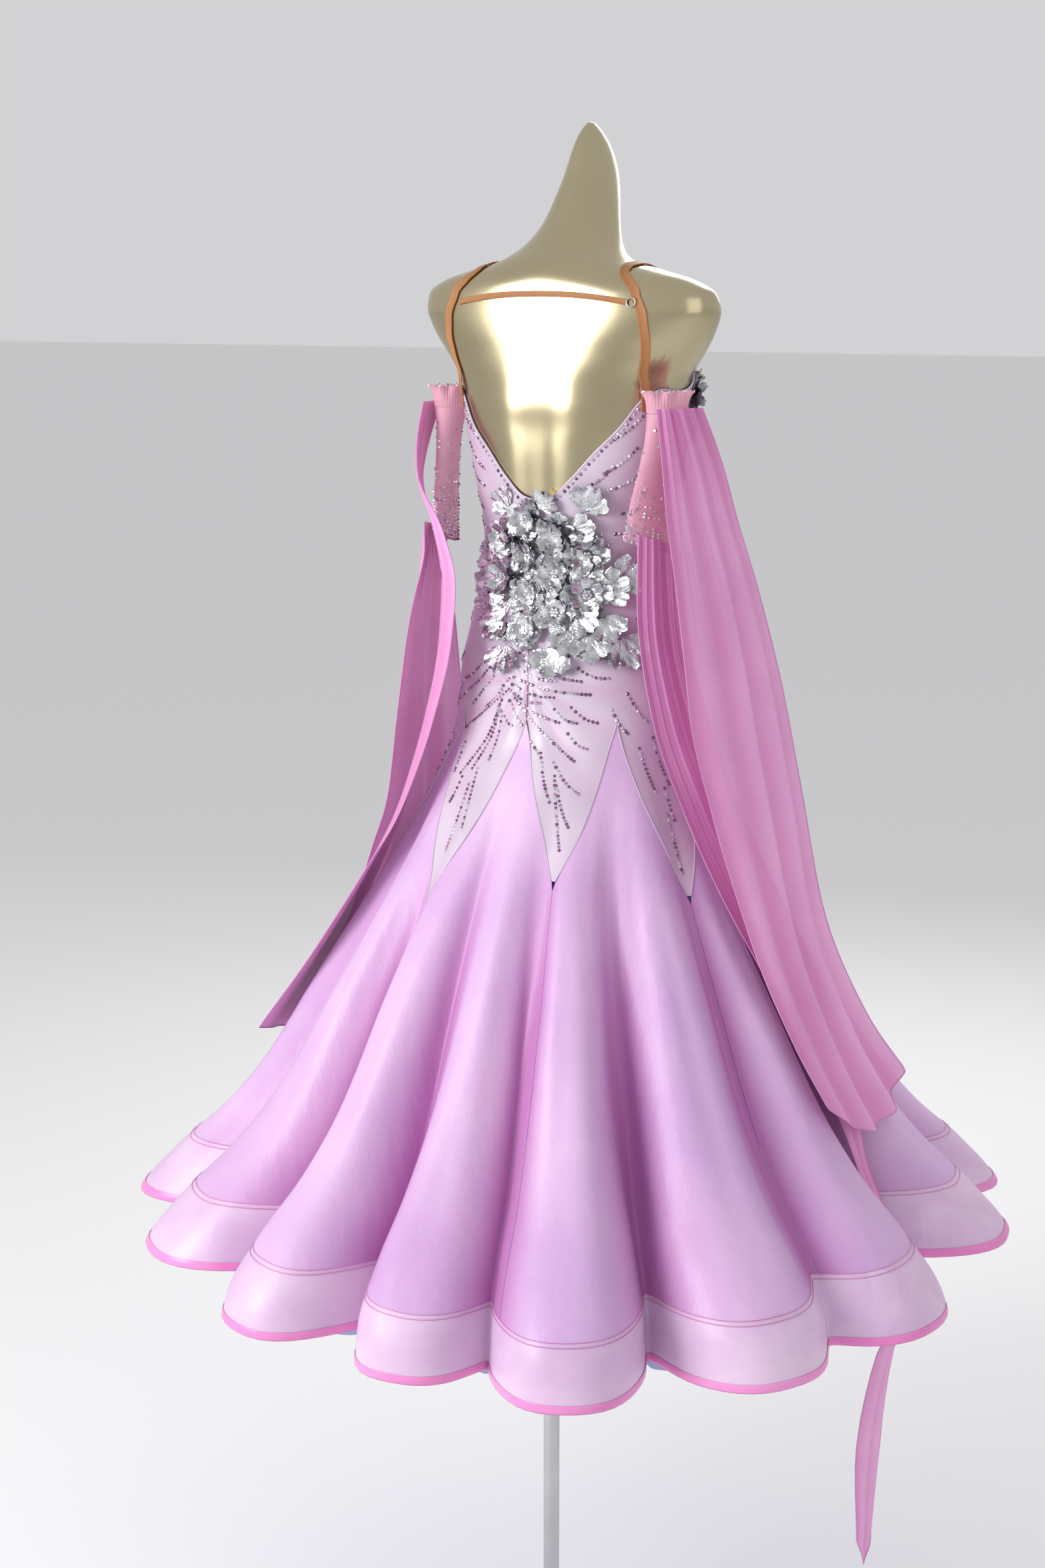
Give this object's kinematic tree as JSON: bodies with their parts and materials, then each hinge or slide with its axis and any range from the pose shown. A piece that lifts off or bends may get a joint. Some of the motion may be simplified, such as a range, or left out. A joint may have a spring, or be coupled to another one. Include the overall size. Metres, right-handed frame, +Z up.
{
  "type": "ballroom dance dress on a dress form",
  "caption": "Long ballroom dance dress with godet skirt, low back, net sleeves and hanging floats, on a limbless form with a pole stand.",
  "frame": {"origin": "centre of the stand's base underside, on the pole's axis", "axes": "+Z up along the pole, -Y towards the dress's front, +X towards the wearer's left"},
  "size_m": [1.1272, 1.1087, 1.99],
  "materials": {
    "form_finish": "smooth satin champagne-gold lacquer",
    "stand_steel": "brushed steel",
    "body_fabric": "pale lilac-pink stretch knit with a soft sheen",
    "godet_organza": "sheer lilac-pink organza",
    "hem_horsehair": "organza over stiff horsehair braid, satin-bound edge",
    "petticoat_net": "soft lavender net",
    "sleeve_net": "sheer nude-pink net with stones",
    "float_chiffon": "sheer pink chiffon, serged edge",
    "strap_elastic": "tan elastic braid",
    "flower_foil": "metallic silver foil-coated applique"
  },
  "bodies": {
    "root": {"form_torso": "form_finish", "stand_pole": "stand_steel", "stand_base": "stand_steel", "body_front": "body_fabric", "body_back_left": "body_fabric", "body_back_right": "body_fabric", "godet_1": "godet_organza", "godet_2": "godet_organza", "godet_3": "godet_organza", "godet_4": "godet_organza", "godet_5": "godet_organza", "godet_6": "godet_organza", "godet_7": "godet_organza", "godet_8": "godet_organza", "hem_band": "hem_horsehair", "petticoat": "petticoat_net", "armband_l": "sleeve_net", "armband_r": "sleeve_net", "gauntlet_l": "sleeve_net", "gauntlet_r": "sleeve_net", "float_outer_r": "float_chiffon", "float_inner_r": "float_chiffon", "float_outer_l": "float_chiffon", "float_inner_l": "float_chiffon", "strap_r": "strap_elastic", "strap_l": "strap_elastic", "strap_back": "strap_elastic", "flower_1": "flower_foil", "flower_2": "flower_foil", "flower_3": "flower_foil", "flower_4": "flower_foil", "flower_5": "flower_foil", "flower_6": "flower_foil", "flower_7": "flower_foil", "flower_8": "flower_foil", "flower_9": "flower_foil", "flower_10": "flower_foil", "flower_11": "flower_foil", "flower_12": "flower_foil", "flower_13": "flower_foil", "petal_1": "flower_foil", "petal_2": "flower_foil", "petal_3": "flower_foil", "petal_4": "flower_foil", "petal_5": "flower_foil", "petal_6": "flower_foil", "petal_7": "flower_foil", "petal_8": "flower_foil", "petal_9": "flower_foil"}
  },
  "joints": []
}
